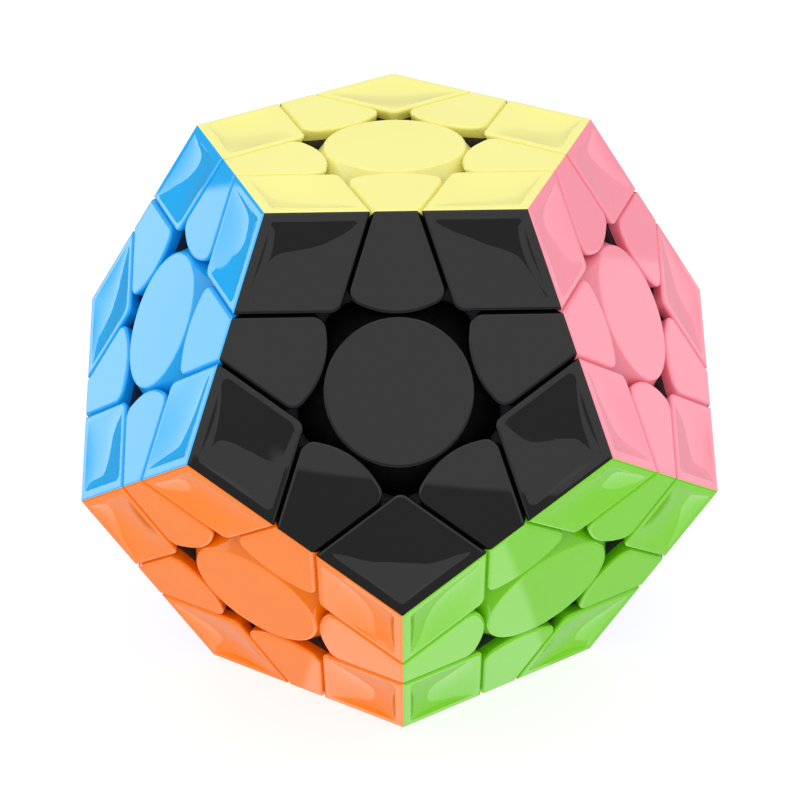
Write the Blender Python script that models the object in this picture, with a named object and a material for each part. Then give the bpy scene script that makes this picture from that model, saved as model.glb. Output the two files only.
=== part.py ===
"""Dodecahedron twisty puzzle: a twelve-sided puzzle that turns about its face axes.

Frame: metres, +Z up, origin at the centre of the core, on every face axis. The puzzle stands on
its bottom face, with the front face towards -Y.

Every turning face is a layer. A layer's boundary is a solid of revolution about its face axis:
the flat outer cut, which shows on the surface, and under the shell sphere a deeper flat cut, so
that the pieces' feet reach under their neighbours and hold them in. A corner belongs to three
layers, an edge to two and a centre to one, and each piece is shaped by the layers it is in and
the layers it stays out of.

The front, back-right and bottom layers have no piece in common, so these three are built to turn.
The pieces between them are joined in blocks by short webs between their feet.
"""

import math

import bmesh
import bpy
from mathutils import Matrix, Vector

# Outside of the puzzle
EDGE_LENGTH = 0.0370
FACE_HEIGHT = EDGE_LENGTH * math.sqrt(250 + 110 * math.sqrt(5)) / 20

# The cuts between pieces, as heights along a face axis, and the sphere under which they deepen
OUTER_CUT = 0.0281
INNER_CUT = 0.0240
SHELL_RADIUS = 0.0385
GAP = 0.0003
WALL = 0.0012
CUTTER_SIZE = 0.2

# Openings on the inner side of the hollow pieces
CORNER_HOLE_RADIUS = 0.0022
EDGE_HOLE_RADIUS = 0.0024

# Centre: a round button on a flared skirt, over a base that rides on the core's post
BUTTON_RADIUS = 0.0105
SKIRT_FLARE = 1.25
SPLIT_HEIGHT = 0.0345
CAP_ROOF = 0.0018
LEDGE = 0.0020
CHAMBER_RADIUS = 0.0036
BORE_RADIUS = 0.0019
TUBE_RADIUS = 0.0050

# Screw and spring that hold a centre to the core
SCREW_RADIUS = 0.0015
SCREW_TIP = 0.0120
SCREW_HEAD_RADIUS = 0.0032
SCREW_HEAD_BASE = 0.0312
SCREW_HEAD_TOP = 0.0332
SCREW_SLOT_WIDTH = 0.0009
SCREW_SLOT_DEPTH = 0.0010
SPRING_RADIUS = 0.0026
SPRING_WIRE_RADIUS = 0.00035
SPRING_BOTTOM = INNER_CUT + GAP / 2 + LEDGE + GAP + SPRING_WIRE_RADIUS
SPRING_TOP = SCREW_HEAD_BASE - GAP - SPRING_WIRE_RADIUS
SPRING_TURNS = 4
SPRING_STEPS_PER_TURN = 8
SPRING_WIRE_SIDES = 4

# Core: a ball with twelve posts
CORE_RADIUS = 0.0100
POST_RADIUS = 0.0036
POST_TOP = INNER_CUT - GAP / 2
POST_HOLE_RADIUS = SCREW_RADIUS + GAP
POST_HOLE_BOTTOM = SCREW_TIP - 0.0006

# Webs that join the feet of a block's pieces
WEB_RADIUS = 0.0018
WEB_LENGTH = 0.0026
WEB_EDGE_HEIGHT = 0.0330

ROUND_SIDES = 20
SMALL_SIDES = 10
POST_SIDES = 8
WEB_SIDES = 7
BALL_SUBDIVISIONS = 3
BALL_FACET_DEPTH = 0.984
MERGE_DISTANCE = 2e-7
FLAT_ANGLE = math.radians(0.1)

# Face names with their azimuth, in degrees. The upper ring leans out and up, and each face of the
# lower ring lies opposite to one of the upper ring.
RING_ELEVATION = math.atan(0.5)
UPPER_RING = {"front": -90, "right": -18, "back_right": 54, "back_left": 126, "left": 198}
OPPOSITE = {
    "low_back": "front",
    "low_far_left": "right",
    "low_left": "back_right",
    "low_right": "back_left",
    "low_far_right": "left",
}

COLOURS = {
    "top": (0.93, 0.93, 0.33),
    "front": (0.012, 0.012, 0.013),
    "right": (1.0, 0.33, 0.40),
    "left": (0.10, 0.52, 0.95),
    "back_right": (0.62, 0.02, 0.02),
    "back_left": (0.01, 0.22, 0.06),
    "low_left": (1.0, 0.22, 0.02),
    "low_right": (0.25, 0.66, 0.08),
    "low_back": (0.80, 0.80, 0.78),
    "low_far_left": (0.22, 0.04, 0.40),
    "low_far_right": (0.02, 0.06, 0.42),
    "bottom": (0.95, 0.72, 0.02),
}
STEEL = (0.55, 0.55, 0.56)
CHARCOAL = (0.03, 0.03, 0.033)

LAYERS = ("front", "back_right", "bottom")
BLOCK_CORNERS = {
    ("right", "low_right", "low_far_right"): (
        ("right", "low_right"), ("right", "low_far_right"), ("low_right", "low_far_right")),
    ("back_left", "left", "low_far_left"): (
        ("back_left", "left"), ("left", "low_far_left"), ("back_left", "low_far_left")),
    ("top", "back_left", "left"): (("top", "back_left"), ("top", "left")),
    ("back_left", "low_back", "low_far_left"): (
        ("back_left", "low_back"), ("low_back", "low_far_left")),
    ("left", "low_far_left", "low_left"): (("left", "low_left"), ("low_far_left", "low_left")),
}


def face_normals():
    """Unit normal of each of the twelve faces."""
    normals = {"top": Vector((0, 0, 1))}
    for name, degrees in UPPER_RING.items():
        turn = math.radians(degrees)
        across = math.cos(RING_ELEVATION)
        normals[name] = Vector(
            (across * math.cos(turn), across * math.sin(turn), math.sin(RING_ELEVATION)))
    for name, partner in OPPOSITE.items():
        normals[name] = -normals[partner]
    normals["bottom"] = Vector((0, 0, -1))
    return normals


NORMALS = face_normals()
FACE_NAMES = list(NORMALS)


def adjacent(first, second):
    """Whether two faces share an edge."""
    return first != second and NORMALS[first].dot(NORMALS[second]) > 0.3


def all_edges():
    """Every pair of faces that share an edge."""
    pairs = []
    for i, first in enumerate(FACE_NAMES):
        for second in FACE_NAMES[i + 1:]:
            if adjacent(first, second):
                pairs.append((first, second))
    return pairs


def all_corners():
    """Every three faces that meet, in right-handed order."""
    corners = []
    for first, second in all_edges():
        for third in FACE_NAMES[FACE_NAMES.index(second) + 1:]:
            if adjacent(first, third) and adjacent(second, third):
                corners.append((first, second, third))
    return [right_handed(corner) for corner in corners]


def right_handed(corner):
    """The same three faces, ordered so that their normals make a right-handed set."""
    first, second, third = corner
    if NORMALS[first].cross(NORMALS[second]).dot(NORMALS[third]) < 0:
        return (first, third, second)
    return (first, second, third)


def end_faces(pair):
    """The two faces at the ends of an edge."""
    return [name for name in FACE_NAMES if adjacent(name, pair[0]) and adjacent(name, pair[1])]


def neighbours(face):
    """The five faces around a face."""
    return [name for name in FACE_NAMES if adjacent(name, face)]


# Solids. Each helper returns a bmesh, and the boolean works on temporary objects.

def cut(solid, face, height, keep):
    """Cut a convex solid flat across a face axis and close it. keep is 'above' or 'below'."""
    normal = NORMALS[face]
    bmesh.ops.bisect_plane(
        solid,
        geom=solid.verts[:] + solid.edges[:] + solid.faces[:],
        dist=1e-7,
        plane_co=normal * height,
        plane_no=normal,
        clear_outer=keep == "below",
        clear_inner=keep == "above",
    )
    rim = [edge for edge in solid.edges if edge.is_boundary]
    if rim:
        bmesh.ops.holes_fill(solid, edges=rim, sides=0)


def block():
    """A cube larger than the puzzle."""
    solid = bmesh.new()
    bmesh.ops.create_cube(solid, size=CUTTER_SIZE)
    return solid


def ball(radius, subdivisions=BALL_SUBDIVISIONS):
    """A faceted ball whose points lie on the sphere, one of them on every face axis."""
    solid = bmesh.new()
    to_face_axes = Matrix.Rotation(math.radians(UPPER_RING["right"]), 4, "Z")
    bmesh.ops.create_icosphere(
        solid, subdivisions=subdivisions, radius=radius, matrix=to_face_axes)
    return solid


def outer_ball(radius):
    """A faceted ball that holds the whole sphere inside its facets."""
    return ball(radius / BALL_FACET_DEPTH)


def rod(axis, bottom, top, radius, top_radius=None, sides=SMALL_SIDES):
    """A round rod, or a cone, along an axis through the origin."""
    solid = bmesh.new()
    turn = Vector((0, 0, 1)).rotation_difference(axis).to_matrix().to_4x4()
    place = turn @ Matrix.Translation((0, 0, (bottom + top) / 2))
    bmesh.ops.create_cone(
        solid,
        cap_ends=True,
        segments=sides,
        radius1=radius,
        radius2=radius if top_radius is None else top_radius,
        depth=top - bottom,
        matrix=place,
    )
    return solid


def temporary_object(solid):
    """Move a bmesh into an object that a boolean can use."""
    mesh = bpy.data.meshes.new("temporary")
    solid.to_mesh(mesh)
    solid.free()
    item = bpy.data.objects.new("temporary", mesh)
    bpy.context.scene.collection.objects.link(item)
    return item


def close_slits(solid):
    """Close the thin three-sided slits that merging points can leave."""
    rim = [edge for edge in solid.edges if edge.is_boundary]
    if rim:
        bmesh.ops.holes_fill(solid, edges=rim, sides=3)


def combine(first, operation, second):
    """Union, difference or intersection of two closed solids, with flat stretches merged."""
    target = temporary_object(first)
    tool = temporary_object(second)
    modifier = target.modifiers.new("combine", "BOOLEAN")
    modifier.operation = operation
    modifier.solver = "EXACT"
    modifier.object = tool
    bpy.context.view_layer.update()
    evaluated = target.evaluated_get(bpy.context.evaluated_depsgraph_get())
    result = bmesh.new()
    result.from_mesh(evaluated.to_mesh())
    evaluated.to_mesh_clear()
    for item in (target, tool):
        mesh = item.data
        bpy.data.objects.remove(item)
        bpy.data.meshes.remove(mesh)
    bmesh.ops.remove_doubles(result, verts=result.verts[:], dist=MERGE_DISTANCE)
    close_slits(result)
    return result


def union(*solids):
    """Union of several solids."""
    result = solids[0]
    for solid in solids[1:]:
        result = combine(result, "UNION", solid)
    return result


def hollow(solid, *cavities):
    """Take each cavity out of a solid."""
    for cavity in cavities:
        solid = combine(solid, "DIFFERENCE", cavity)
    return solid


def between(inside, lowest, outside, highest, start=None, face_limit=FACE_HEIGHT):
    """Convex solid above `lowest` on the inside faces and below `highest` on the outside ones."""
    solid = block() if start is None else start
    for face in inside:
        cut(solid, face, lowest, "above")
        if start is None:
            cut(solid, face, face_limit, "below")
    for face in outside:
        cut(solid, face, highest, "below")
    bmesh.ops.recalc_face_normals(solid, faces=solid.faces[:])
    return solid


def piece(inside, outside, inset=0.0):
    """A piece in the layers of the inside faces and out of those of the outside faces.

    It joins the part above the shell sphere, the foot below it and the neck through it. An inset
    moves every wall inwards, which gives the piece's cavity.
    """
    in_outer = OUTER_CUT + GAP / 2 + inset
    in_inner = INNER_CUT + GAP / 2 + inset
    out_outer = OUTER_CUT - GAP / 2 - inset
    out_inner = INNER_CUT - GAP / 2 - inset
    limit = FACE_HEIGHT - inset
    foot_ball = ball(SHELL_RADIUS - GAP / 2 - inset)
    foot = between(inside, in_inner, outside, out_inner, start=foot_ball)
    body = between(inside, in_outer, outside, out_outer, face_limit=limit)
    if not outside:
        return body, foot
    body = combine(body, "DIFFERENCE", outer_ball(SHELL_RADIUS + GAP / 2 + inset))
    if inset:
        return body, foot
    neck = between(inside, in_outer, outside, out_inner, face_limit=limit)
    return union(body, neck), foot


def corner_solid(faces):
    """A corner: it shows three faces, and is hollow with an opening at its inner tip."""
    axis = sum((NORMALS[face] for face in faces), Vector()).normalized()
    solid = union(*piece(faces, ()))
    opening = rod(axis, CORE_RADIUS, SHELL_RADIUS + 2 * WALL, CORNER_HOLE_RADIUS)
    return hollow(solid, *piece(faces, (), inset=WALL), opening)


def edge_solid(faces):
    """An edge: it shows two faces, and is hollow with an opening at its inner side."""
    axis = sum((NORMALS[face] for face in faces), Vector()).normalized()
    ends = end_faces(faces)
    solid = union(*piece(faces, ends))
    opening = rod(axis, CORE_RADIUS, SHELL_RADIUS + 2.5 * WALL, EDGE_HOLE_RADIUS)
    return hollow(solid, *piece(faces, ends, inset=WALL), opening)


def centre_outline(face):
    """The whole centre: button, skirt, neck and foot."""
    depth = FACE_HEIGHT - SPLIT_HEIGHT
    body, foot = piece((face,), neighbours(face))
    skirt = rod(
        NORMALS[face], SPLIT_HEIGHT, FACE_HEIGHT, BUTTON_RADIUS + SKIRT_FLARE * depth,
        BUTTON_RADIUS, sides=ROUND_SIDES)
    below = between((face,), OUTER_CUT, (), 0, face_limit=SPLIT_HEIGHT + GAP)
    top = combine(body, "INTERSECT", union(skirt, below))
    return union(top, foot)


def centre_pocket(face, bottom, top):
    """Pentagonal room inside a centre between two heights."""
    return between(
        (face,), bottom, neighbours(face), INNER_CUT - GAP / 2 - WALL, face_limit=top)


def base_cutters(face):
    """The base's pocket around its spring tube, the spring's chamber and the screw's bore."""
    axis = NORMALS[face]
    floor = INNER_CUT + GAP / 2 + LEDGE
    pocket = centre_pocket(face, floor, SPLIT_HEIGHT + GAP)
    tube = rod(axis, CORE_RADIUS, SPLIT_HEIGHT - GAP, TUBE_RADIUS)
    pocket = combine(pocket, "DIFFERENCE", tube)
    chamber = rod(axis, floor, SPLIT_HEIGHT + GAP, CHAMBER_RADIUS)
    bore = rod(axis, CORE_RADIUS, floor + GAP, BORE_RADIUS)
    return pocket, chamber, bore


def centre_base_solid(face):
    """The centre's base: a five-sided cup with a tube for the spring."""
    lower = between((face,), 0.0, (), 0, face_limit=SPLIT_HEIGHT - GAP / 2)
    solid = combine(centre_outline(face), "INTERSECT", lower)
    return hollow(solid, *base_cutters(face))


def centre_cap_solid(face):
    """The centre's cap: the round button and its skirt, hollow underneath."""
    upper = between((face,), SPLIT_HEIGHT + GAP / 2, (), 0, face_limit=CUTTER_SIZE / 2)
    solid = combine(centre_outline(face), "INTERSECT", upper)
    return hollow(solid, centre_pocket(face, SPLIT_HEIGHT - GAP, FACE_HEIGHT - CAP_ROOF))


def whole_centre_solid(face):
    """Cap and base in one, for the faces that stay still."""
    roof_room = centre_pocket(face, SPLIT_HEIGHT - GAP, FACE_HEIGHT - CAP_ROOF)
    return hollow(centre_outline(face), roof_room, *base_cutters(face))


def core_solid():
    """The core: a ball with a hollow post towards every face."""
    solid = ball(CORE_RADIUS, subdivisions=BALL_SUBDIVISIONS - 1)
    for axis in NORMALS.values():
        post = rod(axis, CORE_RADIUS / 2, POST_TOP, POST_RADIUS, sides=POST_SIDES)
        solid = combine(solid, "UNION", post)
    for axis in NORMALS.values():
        hole = rod(axis, POST_HOLE_BOTTOM, POST_TOP + GAP, POST_HOLE_RADIUS, sides=POST_SIDES)
        solid = combine(solid, "DIFFERENCE", hole)
    return solid


def screw_solid(face):
    """A cross-slotted pan-head screw along a face axis."""
    axis = NORMALS[face]
    head = rod(axis, SCREW_HEAD_BASE, SCREW_HEAD_TOP, SCREW_HEAD_RADIUS, SCREW_HEAD_RADIUS * 0.8)
    shank = rod(axis, SCREW_TIP, SCREW_HEAD_BASE + GAP, SCREW_RADIUS)
    solid = union(head, shank)
    length = 2 * SCREW_HEAD_RADIUS * 0.55
    for across in (0, 90):
        slot = bmesh.new()
        bmesh.ops.create_cube(slot, size=1.0)
        sizes = Matrix.Diagonal((length, SCREW_SLOT_WIDTH, 2 * SCREW_SLOT_DEPTH, 1))
        turn = axis.to_track_quat("Z", "Y").to_matrix().to_4x4()
        place = turn @ Matrix.Translation((0, 0, SCREW_HEAD_TOP))
        around = Matrix.Rotation(math.radians(across), 4, "Z")
        bmesh.ops.transform(slot, matrix=place @ around @ sizes, verts=slot.verts[:])
        solid = combine(solid, "DIFFERENCE", slot)
    return solid


def spring_solid(face):
    """A coil spring: a round wire swept along a helix about the face axis."""
    turn = NORMALS[face].to_track_quat("Z", "Y").to_matrix()
    steps = SPRING_TURNS * SPRING_STEPS_PER_TURN
    pitch = (SPRING_TOP - SPRING_BOTTOM) / SPRING_TURNS
    lean = math.atan2(pitch, 2 * math.pi * SPRING_RADIUS)
    solid = bmesh.new()
    rings = []
    for step in range(steps + 1):
        angle = 2 * math.pi * step / SPRING_STEPS_PER_TURN
        outward = Vector((math.cos(angle), math.sin(angle), 0))
        along = Vector((-math.sin(angle), math.cos(angle), 0))
        upward = Vector((0, 0, math.cos(lean))) - along * math.sin(lean)
        height = SPRING_BOTTOM + (SPRING_TOP - SPRING_BOTTOM) * step / steps
        middle = outward * SPRING_RADIUS + Vector((0, 0, height))
        ring = []
        for side in range(SPRING_WIRE_SIDES):
            roll = 2 * math.pi * side / SPRING_WIRE_SIDES
            offset = outward * math.cos(roll) + upward * math.sin(roll)
            ring.append(solid.verts.new(turn @ (middle + offset * SPRING_WIRE_RADIUS)))
        rings.append(ring)
    for low, high in zip(rings, rings[1:]):
        for side in range(SPRING_WIRE_SIDES):
            after = (side + 1) % SPRING_WIRE_SIDES
            solid.faces.new((low[side], low[after], high[after], high[side]))
    solid.faces.new(rings[0][::-1])
    solid.faces.new(rings[-1])
    bmesh.ops.recalc_face_normals(solid, faces=solid.faces[:])
    return solid


# Placing: each kind of piece is made once, at its first place, and turned about the origin.

def face_frame(first, second):
    """Right-handed axes with X along the first face's normal and Y towards the second's."""
    along = NORMALS[first]
    side = (NORMALS[second] - along * along.dot(NORMALS[second])).normalized()
    return Matrix((along, side, along.cross(side))).transposed()


def turn_between(source, target):
    """Rotation that takes one pair of neighbouring faces to another pair."""
    turn = face_frame(*target[:2]) @ face_frame(*source[:2]).transposed()
    return turn.to_4x4()


def material(name, colour, metallic=0.0, roughness=0.25):
    """A plain Principled material."""
    made = bpy.data.materials.new(name)
    made.use_nodes = True
    shader = made.node_tree.nodes["Principled BSDF"]
    shader.inputs["Base Color"].default_value = (*colour, 1)
    shader.inputs["Metallic"].default_value = metallic
    shader.inputs["Roughness"].default_value = roughness
    made.diffuse_color = (*colour, 1)
    return made


def finished_mesh(name, solid):
    """Turn a solid into a mesh with merged flat stretches and smooth round faces."""
    mesh = bpy.data.meshes.new(name)
    bmesh.ops.dissolve_limit(
        solid, angle_limit=FLAT_ANGLE, verts=solid.verts[:], edges=solid.edges[:])
    solid.to_mesh(mesh)
    solid.free()
    mesh.shade_smooth()
    mesh.set_sharp_from_angle(angle=math.radians(25))
    return mesh


def add_object(name, mesh, look, turn=None):
    """One named sub-part, with its own material."""
    item = bpy.data.objects.new(name, mesh)
    bpy.context.scene.collection.objects.link(item)
    if not mesh.materials:
        mesh.materials.append(None)
    item.material_slots[0].link = "OBJECT"
    item.material_slots[0].material = look
    if turn is not None:
        item.matrix_world = turn
    return item


def web(corner, pair):
    """Short rod that joins a corner's foot to the foot of the edge beside it."""
    third = next(face for face in corner if face not in pair)
    middle = (NORMALS[pair[0]] + NORMALS[pair[1]]).normalized()
    normal = NORMALS[third]
    along = (normal - middle * normal.dot(middle)).normalized()
    reach = (INNER_CUT - WEB_EDGE_HEIGHT * normal.dot(middle)) / normal.dot(along)
    centre = middle * WEB_EDGE_HEIGHT + along * reach
    solid = rod(normal, -WEB_LENGTH / 2, WEB_LENGTH / 2, WEB_RADIUS, sides=WEB_SIDES)
    bmesh.ops.translate(solid, vec=centre, verts=solid.verts[:])
    return solid


def turned_copy(solid, turn):
    """A copy of a solid, turned about the origin."""
    copy = solid.copy()
    bmesh.ops.transform(copy, matrix=turn, verts=copy.verts[:])
    return copy


def build_layer(layer, kinds):
    """The pieces of a layer that turns: its centre, corners and edges, and its screw and spring."""
    source, meshes = kinds
    centre_turn = turn_between(source["edge"], (layer, neighbours(layer)[0]))
    steel = (STEEL, 1.0, 0.3)
    looks = {
        "centre_cap": (COLOURS[layer], 0.0, 0.25),
        "centre_base": (CHARCOAL, 0.0, 0.35),
        "screw": steel,
        "spring": steel,
    }
    for kind, look in looks.items():
        name = f"{kind}_{layer}"
        add_object(name, meshes[kind], material(name, *look), centre_turn)
    for corner in all_corners():
        if layer in corner:
            name = "corner_" + "_".join(corner)
            turn = turn_between(source["corner"], corner)
            add_object(name, meshes["corner"], material(name, COLOURS[corner[0]]), turn)
    for pair in all_edges():
        if layer in pair:
            name = "edge_" + "_".join(pair)
            turn = turn_between(source["edge"], pair)
            add_object(name, meshes["edge"], material(name, COLOURS[pair[0]]), turn)


def build_still_pieces(kinds, corner_piece, edge_piece):
    """The centres, blocks and single edges between the turning layers."""
    source, meshes = kinds
    for face in FACE_NAMES:
        if face not in LAYERS:
            name = f"centre_{face}"
            turn = turn_between(source["edge"], (face, neighbours(face)[0]))
            add_object(name, meshes["whole_centre"], material(name, COLOURS[face]), turn)
    joined = []
    for corner, pairs in BLOCK_CORNERS.items():
        turn = turn_between(source["corner"], right_handed(corner))
        solid = turned_copy(corner_piece, turn)
        for pair in pairs:
            edge = turned_copy(edge_piece, turn_between(source["edge"], pair))
            solid = union(solid, web(corner, pair), edge)
            joined.append(set(pair))
        name = "block_" + "_".join(corner)
        add_object(name, finished_mesh(name, solid), material(name, COLOURS[corner[0]]))
    for pair in all_edges():
        if set(pair) & set(LAYERS) or set(pair) in joined:
            continue
        name = "edge_" + "_".join(pair)
        turn = turn_between(source["edge"], pair)
        add_object(name, meshes["edge"], material(name, COLOURS[pair[0]]), turn)


def main():
    for item in list(bpy.data.objects):
        bpy.data.objects.remove(item)
    first_corner = all_corners()[0]
    first_edge = all_edges()[0]
    face = first_edge[0]
    source = {"corner": first_corner, "edge": first_edge}
    corner_piece = corner_solid(first_corner)
    edge_piece = edge_solid(first_edge)
    solids = {
        "corner": corner_piece.copy(),
        "edge": edge_piece.copy(),
        "centre_cap": centre_cap_solid(face),
        "centre_base": centre_base_solid(face),
        "whole_centre": whole_centre_solid(face),
        "screw": screw_solid(face),
        "spring": spring_solid(face),
    }
    meshes = {kind: finished_mesh(kind, solid) for kind, solid in solids.items()}
    kinds = (source, meshes)
    add_object("core", finished_mesh("core", core_solid()), material("core", CHARCOAL))
    for layer in LAYERS:
        build_layer(layer, kinds)
    build_still_pieces(kinds, corner_piece, edge_piece)


main()
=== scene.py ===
"""Looks of the dodecahedron twisty puzzle: glossy moulded shells on dark bases, round the CAD frame.

Every kind of piece is made once, about the origin, and turned to its places. The sizes repeat the
CAD model's, in metres.
"""

import math

import bmesh
import bpy
from mathutils import Matrix, Vector


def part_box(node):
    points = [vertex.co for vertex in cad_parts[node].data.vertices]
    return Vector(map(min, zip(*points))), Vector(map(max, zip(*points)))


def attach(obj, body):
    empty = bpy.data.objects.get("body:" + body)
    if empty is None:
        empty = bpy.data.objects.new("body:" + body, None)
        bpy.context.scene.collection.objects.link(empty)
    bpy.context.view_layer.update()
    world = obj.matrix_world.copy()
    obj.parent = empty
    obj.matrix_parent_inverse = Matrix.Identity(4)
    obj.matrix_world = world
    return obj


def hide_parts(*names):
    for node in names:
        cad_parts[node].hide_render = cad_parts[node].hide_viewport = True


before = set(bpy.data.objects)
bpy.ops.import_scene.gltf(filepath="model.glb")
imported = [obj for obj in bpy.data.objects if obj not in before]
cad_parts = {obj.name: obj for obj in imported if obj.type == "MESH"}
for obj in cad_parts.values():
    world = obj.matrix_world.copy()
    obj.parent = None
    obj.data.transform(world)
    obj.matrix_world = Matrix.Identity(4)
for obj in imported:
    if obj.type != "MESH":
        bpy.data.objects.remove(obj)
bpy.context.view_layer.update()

# Sizes that the CAD model shares
FACE_HEIGHT = -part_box("centre_cap_bottom")[0].z
OUTER_CUT = 0.0281
INNER_CUT = 0.0240
SHELL_RADIUS = 0.0385
GAP = 0.0003
SPLIT_HEIGHT = 0.0345
CORE_RADIUS = 0.0100
POST_RADIUS = 0.0036
SCREW_RADIUS = 0.0015
SCREW_TIP = 0.0120
SCREW_HEAD_RADIUS = 0.0032
SCREW_HEAD_BASE = 0.0312
SCREW_HEAD_TOP = 0.0332
SPRING_RADIUS = 0.0026
SPRING_WIRE_RADIUS = 0.00035
CHAMBER_RADIUS = 0.0036
BORE_RADIUS = 0.0019
LEDGE = 0.0020

# The dodecahedron's angles: the cosine and sine between neighbouring face normals, and how far a
# cut plane and the mitre between two faces move across a face for each step down
NEIGHBOUR_COS = 1 / math.sqrt(5)
NEIGHBOUR_SIN = 2 / math.sqrt(5)
CUT_SLOPE = NEIGHBOUR_COS / NEIGHBOUR_SIN
MITRE_SLOPE = (1 - NEIGHBOUR_COS) / NEIGHBOUR_SIN
WALL_SLOPES = {"in": CUT_SLOPE, "out": -CUT_SLOPE, "ridge": MITRE_SLOPE}
FIFTH = 72
RING_ELEVATION = math.atan(0.5)
UPPER_RING = {"front": -90, "right": -18, "back_right": 54, "back_left": 126, "left": 198}
OPPOSITE = {
    "low_back": "front",
    "low_far_left": "right",
    "low_left": "back_right",
    "low_right": "back_left",
    "low_far_right": "left",
}

# Outline of the facets, in the plane of a face
SURFACE_GAP = 0.00016
CUT_OFFSET = (OUTER_CUT - NEIGHBOUR_COS * FACE_HEIGHT) / NEIGHBOUR_SIN
RIDGE_OFFSET = (FACE_HEIGHT - NEIGHBOUR_COS * FACE_HEIGHT) / NEIGHBOUR_SIN
CUT_FILLET = 0.0004
RIDGE_FILLET = 0.0008
BUTTON_FILLET = 0.0004
SHELL_DEPTH = 0.0020
BASE_INSET = 0.0001
TIP_RADIUS = 0.0020
SHOULDER_RADIUS = 0.0020
SMALL_CORNER = 0.0003
LEAST_CORNER = 0.0001
EDGE_END_RADIUS = 0.0120
EDGE_END_SPREAD = 23
EDGE_END_REACH = 0.00025
BUTTON_RADIUS = 0.01065
SKIRT_DEPTH = 0.0066
SKIRT_CORNER = 0.0050
SKIRT_SHARPENING = 1.35
BUTTON_SWEEP = 0.8 * math.pi / 2
ALMOST_ALL = 0.999

# Dish of the corner facets
RIM_AT_RIDGE = 0.00135
RIM_AT_CUT = 0.00115
DISH_DEPTH = 0.0010
DISH_WALL = 0.0009
DISH_REACH = 0.0085
WALL_SHARE = 0.62
CREASE_RADII = (0.0006, 0.0008, TIP_RADIUS, 0.0008)

# How finely the shells are made. Rings are shares of the way from the middle to the rim.
FILLET_STEPS = 5
WALL_STEPS = 2
ARC_STEPS = 10
SIDE_STEPS = 14
SKIRT_STEPS = 14
DISH_RINGS = 22
DISH_CROWDING = 1.8
CREASE_RING = 0.9985
RIM_RINGS = (0.1, 0.93)
FLAT_RINGS = (0.3, 0.6, 0.85, 0.992)
SHARP_ANGLE = 32

# Colours are linear. The six hidden faces follow the usual set.
COLOURS = {
    "top": (0.97, 0.91, 0.285),
    "front": (0.004, 0.004, 0.0042),
    "right": (0.97, 0.29, 0.375),
    "left": (0.012, 0.44, 0.95),
    "back_right": (0.55, 0.012, 0.015),
    "back_left": (0.008, 0.16, 0.05),
    "low_left": (1.0, 0.215, 0.002),
    "low_right": (0.19, 0.63, 0.01),
    "low_back": (0.66, 0.66, 0.65),
    "low_far_left": (0.16, 0.03, 0.36),
    "low_far_right": (0.015, 0.04, 0.36),
    "bottom": (0.93, 0.62, 0.012),
}
SLOTS = {
    "top": "pale_yellow",
    "front": "black",
    "right": "pink",
    "left": "light_blue",
    "back_right": "red",
    "back_left": "dark_green",
    "low_left": "orange",
    "low_right": "lime_green",
    "low_back": "white",
    "low_far_left": "purple",
    "low_far_right": "dark_blue",
    "bottom": "bright_yellow",
}
CHARCOAL = (0.095, 0.092, 0.11)
STEEL = (0.56, 0.55, 0.54)
LAYERS = ("front", "back_right", "bottom")

# Surfaces: roughness ranges, ripple depths and how far the colour drifts
SHELL_ROUGHNESS = (0.01, 0.03)
SHELL_RIPPLE = 0.000004
SHELL_DRIFT = 0.05
BLACK_ROUGHNESS = (0.006, 0.014)
BLACK_RIPPLE = 0.000003
BLACK_DRIFT = 0.1
CHARCOAL_ROUGHNESS = (0.10, 0.18)
CHARCOAL_RIPPLE = 0.00001
STEEL_ROUGHNESS = (0.22, 0.42)
PLASTIC_IOR = 1.53
NOISE_RANGE = (0.3, 0.7)
TONE_SCALE = 45
GLOSS_SCALE = 160
RIPPLE_SCALE = 90
STREAK_SCALE = 900

# The studio that glossy faces show. A plain number is a brightness. A pair says where one part
# gives way to the next, on the direction's x or z, or on how far it is from the middle.
DOME = 1.08
CEILING = 1.1
CEILING_FOOT = (0.80, 0.86)
FRONT_TO_BACK = (-0.2, -0.1)
LEFT_TO_RIGHT = (-0.1, 0.1)
HORIZON_HEIGHT = 0.4198
HORIZON_SOFTNESS = 0.001
HORIZON_LEAN = 0.111
FRONT_WALL = 0.92
DIM_WALL = 0.38
DIM_WALL_ENDS = (0.32, 0.38)
DIM_WALL_FOOT = (0.05, 0.15)
FRONT_FLOOR = 1.5
FRONT_FLOOR_TOP = (-0.78, -0.80)
BACK_WALL = 0.55
BACK_WALL_FOOT = (0.28, 0.31)
LOW_BACK_WALL = 0.35
LOW_BACK_WALL_ENDS = (0.25, 0.40)
SIDE_WALLS = (0.12, 0.4)
SIDE_PANELS = (1.7, 0.85)
PANEL_SIDE = (0.655, 0.665)
PANEL_SLOPE_END = (0.75, 0.77)
PANEL_HEAD = (0.62, 0.60)
PANEL_FOOT = (-0.32, -0.30)
PANEL_TOP = -1.31
PANEL_SOFTNESS = 0.003
PANEL_SLANT = 1.8
PANEL_TILT = 0.03
UNDER_BANDS = (
    ((-0.38, -0.42), 1.4),
    ((-0.50, -0.56), 0.1),
    ((-0.70, -0.74), 0.55),
)
DEEP_BAND = 1.15
DEEP_BAND_TOP = (-0.845, -0.847)
DEEP_BAND_LEAN = -0.016
FLOOR_RADIUS = 0.3
FLOOR_GLOW = 0.8
FLOOR_SHADE = 0.3

# Camera, set where a picture of the object from the front and above was taken
CAMERA_DISTANCE = 0.41917
CAMERA_AZIMUTH = -0.199
CAMERA_ELEVATION = 26.454
CAMERA_ROLL = -0.779
CAMERA_LENS = 121.44
AIM_POINT = Vector((0.0003, -0.0005, -0.0010))


# Faces and how they meet

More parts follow.
